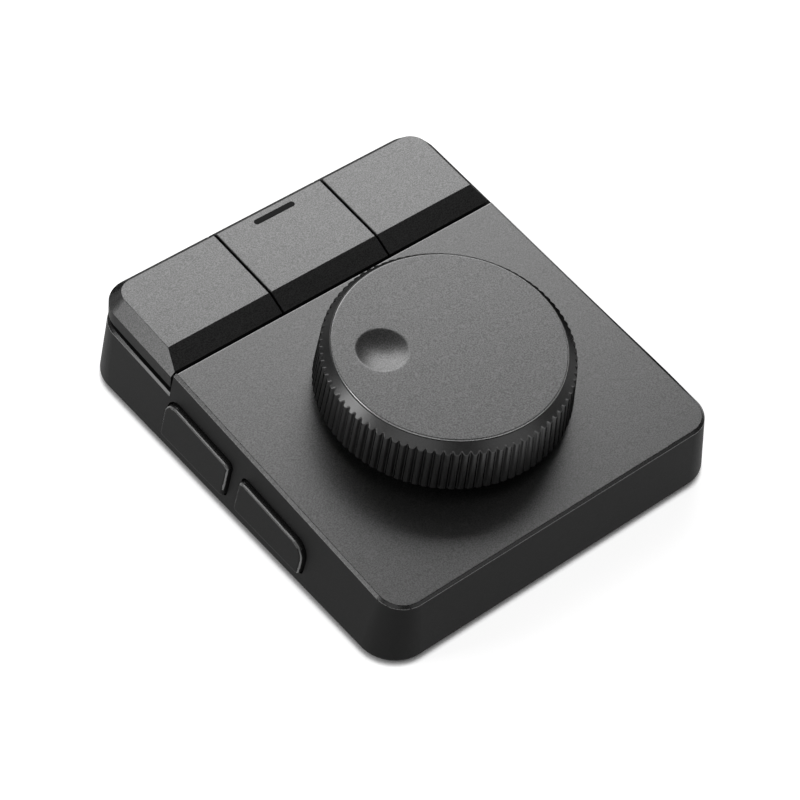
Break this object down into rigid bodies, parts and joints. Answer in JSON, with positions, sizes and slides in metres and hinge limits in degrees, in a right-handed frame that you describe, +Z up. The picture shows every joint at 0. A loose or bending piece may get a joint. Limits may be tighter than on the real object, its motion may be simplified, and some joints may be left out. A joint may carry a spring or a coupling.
{
  "type": "macro keypad",
  "caption": "Low wedge-shaped desk keypad with a large knurled turning dial on a metal face plate, a row of flat keys behind it and push buttons in the left side.",
  "frame": {"origin": "under the middle of the base, on the surface that the feet stand on", "axes": "+X to the user's right, +Y away from the user to the key row, +Z up; the deck rises to the back by 3.44 degrees"},
  "size_m": [0.0746, 0.0836, 0.0293],
  "materials": {
    "case_plastic": "satin black moulding",
    "guard_plastic": "matt black moulding",
    "plate_metal": "fine bead-blasted grey anodising",
    "key_metal": "fine bead-blasted grey anodising",
    "dial_metal": "fine bead-blasted grey anodising",
    "hub_brass": "turned",
    "steel": "plain",
    "encoder_metal": "plain",
    "socket_steel": "plain",
    "foot_rubber": "matt",
    "board": "solder mask",
    "switch_plastic": "matt",
    "plunger_plastic": "matt",
    "lens_plastic": "smoked clear"
  },
  "bodies": {
    "case": {"body_shell": "case_plastic", "face_plate": "plate_metal", "base_plate": "case_plastic", "rubber_feet": "foot_rubber", "base_screws": "steel", "main_board": "board", "board_screws": "steel", "controller_chip": "switch_plastic", "encoder_housing": "encoder_metal", "encoder_washer": "steel", "encoder_nut": "steel", "dial_guard": "guard_plastic", "indicator_led": "lens_plastic", "usb_socket": "socket_steel", "key_switch_left": "switch_plastic", "key_switch_middle": "switch_plastic", "key_switch_right": "switch_plastic", "side_switch_front": "switch_plastic", "side_switch_rear": "switch_plastic"},
    "push": {"push_plunger": "switch_plastic"},
    "dial": {"dial_ring": "dial_metal", "dial_cap": "dial_metal", "dial_hub": "hub_brass", "dial_set_screw": "steel", "hub_screws": "steel", "encoder_shaft": "steel"},
    "key_left": {"key_left": "key_metal", "key_plunger_left": "plunger_plastic"},
    "key_middle": {"key_middle": "key_metal", "key_plunger_middle": "plunger_plastic", "indicator_lens": "lens_plastic"},
    "key_right": {"key_right": "key_metal", "key_plunger_right": "plunger_plastic"},
    "side_button_front": {"side_button_front": "case_plastic", "side_plunger_front": "plunger_plastic"},
    "side_button_rear": {"side_button_rear": "case_plastic", "side_plunger_rear": "plunger_plastic"}
  },
  "joints": [
    {"name": "dial_press", "type": "slide", "parent": "case", "child": "push", "axis": [0, 0.06, -0.9982], "range_m": [0, 0.0005], "stiffness_N_per_m": 6000, "springref_m": -0.0004},
    {"name": "dial_turn", "type": "hinge", "parent": "push", "child": "dial", "pos_m": [0, -0.00991, 0.01578], "axis": [0, -0.06, 0.9982], "continuous": true},
    {"name": "key_left_press", "type": "slide", "parent": "case", "child": "key_left", "axis": [0, 0.06, -0.9982], "range_m": [0, 0.0005], "stiffness_N_per_m": 3000, "springref_m": -0.0004},
    {"name": "key_middle_press", "type": "slide", "parent": "case", "child": "key_middle", "axis": [0, 0.06, -0.9982], "range_m": [0, 0.0005], "stiffness_N_per_m": 3000, "springref_m": -0.0004},
    {"name": "key_right_press", "type": "slide", "parent": "case", "child": "key_right", "axis": [0, 0.06, -0.9982], "range_m": [0, 0.0005], "stiffness_N_per_m": 3000, "springref_m": -0.0004},
    {"name": "side_button_front_press", "type": "slide", "parent": "case", "child": "side_button_front", "axis": [1, 0, 0], "range_m": [0, 0.0006], "stiffness_N_per_m": 2500, "springref_m": -0.0004},
    {"name": "side_button_rear_press", "type": "slide", "parent": "case", "child": "side_button_rear", "axis": [1, 0, 0], "range_m": [0, 0.0006], "stiffness_N_per_m": 2500, "springref_m": -0.0004}
  ]
}
